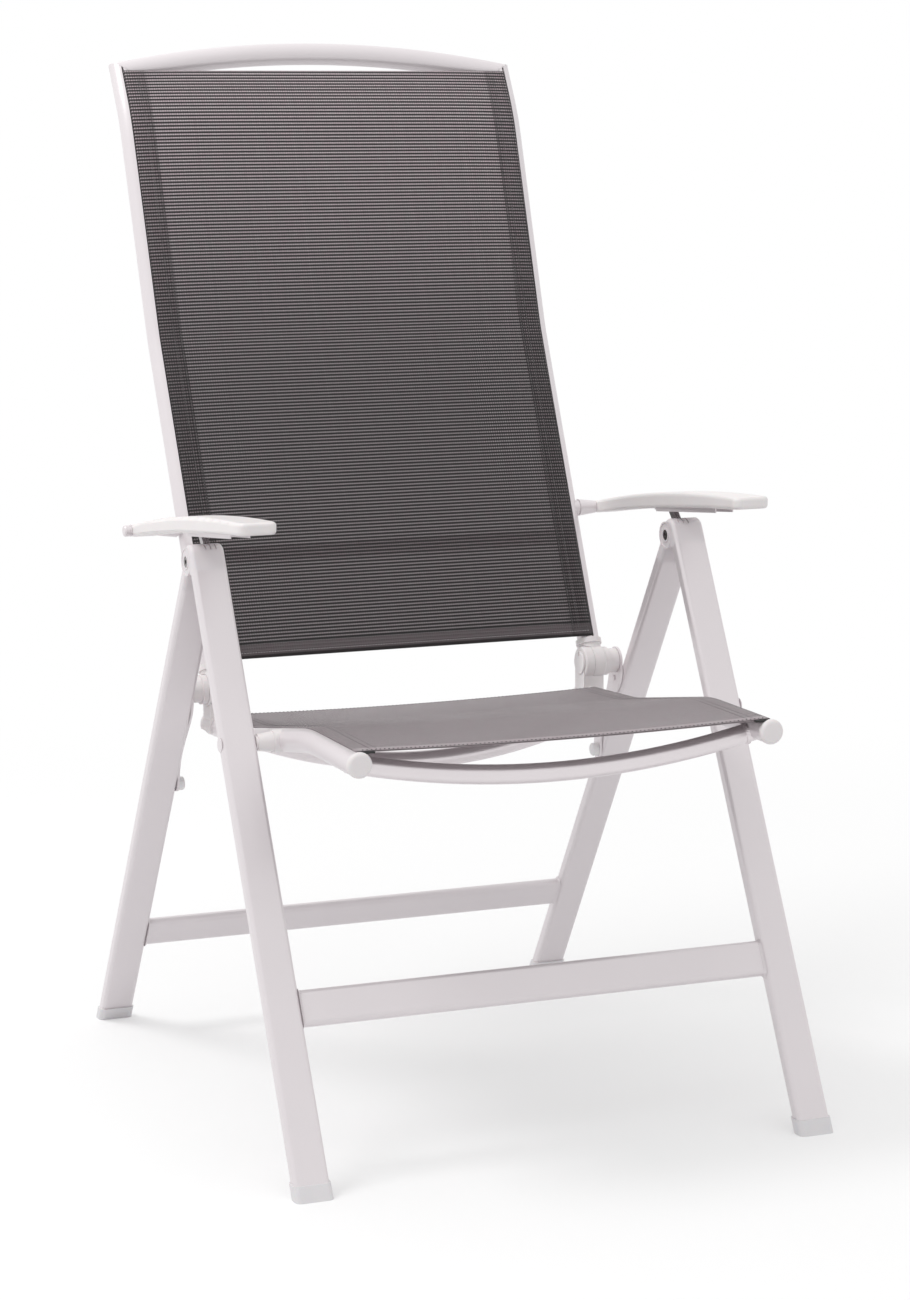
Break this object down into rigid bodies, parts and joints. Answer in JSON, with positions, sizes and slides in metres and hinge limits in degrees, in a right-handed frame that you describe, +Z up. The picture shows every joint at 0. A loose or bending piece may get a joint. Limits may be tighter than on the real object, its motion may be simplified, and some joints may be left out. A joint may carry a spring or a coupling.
{
  "type": "folding reclining garden armchair",
  "caption": "Folding reclining garden armchair with flat-oval crossed legs, sling back and seat on grooved round tubes, latching armrests and an arched top rail.",
  "frame": {"origin": "under the middle of the bounding box, on the floor", "axes": "+Z up, the sitter faces -Y, +X on the sitter's left"},
  "size_m": [0.6066, 0.7848, 1.1318],
  "materials": {
    "frame_paint": "satin powder coat, near white with a fine metallic grain",
    "grey_plastic": "moulded, fine satin, near white",
    "arm_plastic": "moulded, satin, near white",
    "strap_metal": "plated",
    "bolt_steel": "blackened",
    "sling_fabric": "woven coated yarn, open mesh",
    "cord_plastic": "plain",
    "link_metal": "painted to match the frame",
    "pale_plastic": "smooth"
  },
  "bodies": {
    "front_frame": {"front_leg_left": "frame_paint", "front_leg_right": "frame_paint", "front_foot_left": "grey_plastic", "front_foot_right": "grey_plastic", "leg_head_left": "grey_plastic", "leg_head_right": "grey_plastic", "front_crossbar": "frame_paint", "leg_pivot_bolts": "bolt_steel", "seat_pivot_bolts": "bolt_steel"},
    "rear_frame": {"rear_leg_left": "frame_paint", "rear_leg_right": "frame_paint", "rear_foot_left": "grey_plastic", "rear_foot_right": "grey_plastic", "rear_knuckle_left": "grey_plastic", "rear_knuckle_right": "grey_plastic", "rear_crossbar": "frame_paint"},
    "seat": {"seat_tube_left": "frame_paint", "seat_tube_right": "frame_paint", "seat_front_cap_left": "grey_plastic", "seat_front_cap_right": "grey_plastic", "seat_rear_cap_left": "grey_plastic", "seat_rear_cap_right": "grey_plastic", "hinge_lower_left": "grey_plastic", "hinge_lower_right": "grey_plastic", "seat_bush_left": "grey_plastic", "seat_bush_right": "grey_plastic", "seat_front_cross": "frame_paint", "seat_rear_cross": "frame_paint", "seat_fabric": "sling_fabric", "seat_keder_cords": "cord_plastic"},
    "hinge_hub": {"hinge_axle_left": "grey_plastic", "hinge_axle_right": "grey_plastic"},
    "back": {"back_tube_left": "frame_paint", "back_tube_right": "frame_paint", "hinge_upper_left": "grey_plastic", "hinge_upper_right": "grey_plastic", "back_top_rail": "frame_paint", "back_cross_tube": "frame_paint", "back_fabric": "sling_fabric", "back_keder_cords": "cord_plastic"},
    "link_left": {"link_plate_left": "link_metal", "link_pin_left": "pale_plastic"},
    "strap_left": {"latch_strap_left": "strap_metal", "latch_pin_left": "bolt_steel"},
    "arm_hub_left": {"arm_sleeve_left": "frame_paint", "armrest_bolt_left": "link_metal"},
    "armrest_left": {"armrest_left": "arm_plastic", "latch_rail_left": "strap_metal", "rail_screw_left": "bolt_steel"},
    "link_right": {"link_plate_right": "link_metal", "link_pin_right": "pale_plastic"},
    "strap_right": {"latch_strap_right": "strap_metal", "latch_pin_right": "bolt_steel"},
    "arm_hub_right": {"arm_sleeve_right": "frame_paint", "armrest_bolt_right": "link_metal"},
    "armrest_right": {"armrest_right": "arm_plastic", "latch_rail_right": "strap_metal", "rail_screw_right": "bolt_steel"}
  },
  "joints": [
    {"name": "fold", "type": "hinge", "parent": "front_frame", "child": "seat", "pos_m": [0, -0.1626, 0.4145], "axis": [-1, 0, 0], "range_deg": [0, 96]},
    {"name": "rear_legs", "type": "hinge", "parent": "front_frame", "child": "rear_frame", "pos_m": [0, -0.05267, 0.589], "axis": [-1, 0, 0], "range_deg": [0, 59.3]},
    {"name": "hub_turn", "type": "hinge", "parent": "seat", "child": "hinge_hub", "pos_m": [0, 0.07133, 0.43], "axis": [1, 0, 0], "range_deg": [0, 107.8]},
    {"name": "recline", "type": "hinge", "parent": "hinge_hub", "child": "back", "pos_m": [0, 0.07133, 0.43], "axis": [-1, 0, 0], "range_deg": [0, 40]},
    {"name": "link_left", "type": "hinge", "parent": "seat", "child": "link_left", "pos_m": [0.256, 0.07133, 0.43], "axis": [-1, 0, 0], "range_deg": [0, 95.6]},
    {"name": "strap_left", "type": "hinge", "parent": "front_frame", "child": "strap_left", "pos_m": [0.2725, -0.05267, 0.589], "axis": [-1, 0, 0], "range_deg": [0, 122.2]},
    {"name": "arm_turn_left", "type": "hinge", "parent": "back", "child": "arm_hub_left", "pos_m": [0.253, 0.14983, 0.598], "axis": [-1, 0, 0], "range_deg": [0, 122.7]},
    {"name": "arm_level_left", "type": "hinge", "parent": "arm_hub_left", "child": "armrest_left", "pos_m": [0.2795, 0.14983, 0.598], "axis": [1, 0, 0], "range_deg": [0, 24.5]},
    {"name": "link_right", "type": "hinge", "parent": "seat", "child": "link_right", "pos_m": [-0.256, 0.07133, 0.43], "axis": [-1, 0, 0], "range_deg": [0, 95.6]},
    {"name": "strap_right", "type": "hinge", "parent": "front_frame", "child": "strap_right", "pos_m": [-0.2725, -0.05267, 0.589], "axis": [-1, 0, 0], "range_deg": [0, 122.2]},
    {"name": "arm_turn_right", "type": "hinge", "parent": "back", "child": "arm_hub_right", "pos_m": [-0.253, 0.14983, 0.598], "axis": [-1, 0, 0], "range_deg": [0, 122.7]},
    {"name": "arm_level_right", "type": "hinge", "parent": "arm_hub_right", "child": "armrest_right", "pos_m": [-0.2795, 0.14983, 0.598], "axis": [1, 0, 0], "range_deg": [0, 24.5]}
  ],
  "couplings": [
    {"joint": "rear_legs", "follows": "fold", "ratio": 0.61635},
    {"joint": "hub_turn", "follows": "fold", "ratio": 1.1219},
    {"joint": "link_left", "follows": "fold", "ratio": 0.99448},
    {"joint": "strap_left", "follows": "fold", "ratio": 1.271},
    {"joint": "arm_turn_left", "follows": "fold", "ratio": 1.2766},
    {"joint": "arm_level_left", "follows": "recline", "ratio": 0.61},
    {"joint": "link_right", "follows": "fold", "ratio": 0.99448},
    {"joint": "strap_right", "follows": "fold", "ratio": 1.271},
    {"joint": "arm_turn_right", "follows": "fold", "ratio": 1.2766},
    {"joint": "arm_level_right", "follows": "recline", "ratio": 0.61}
  ]
}
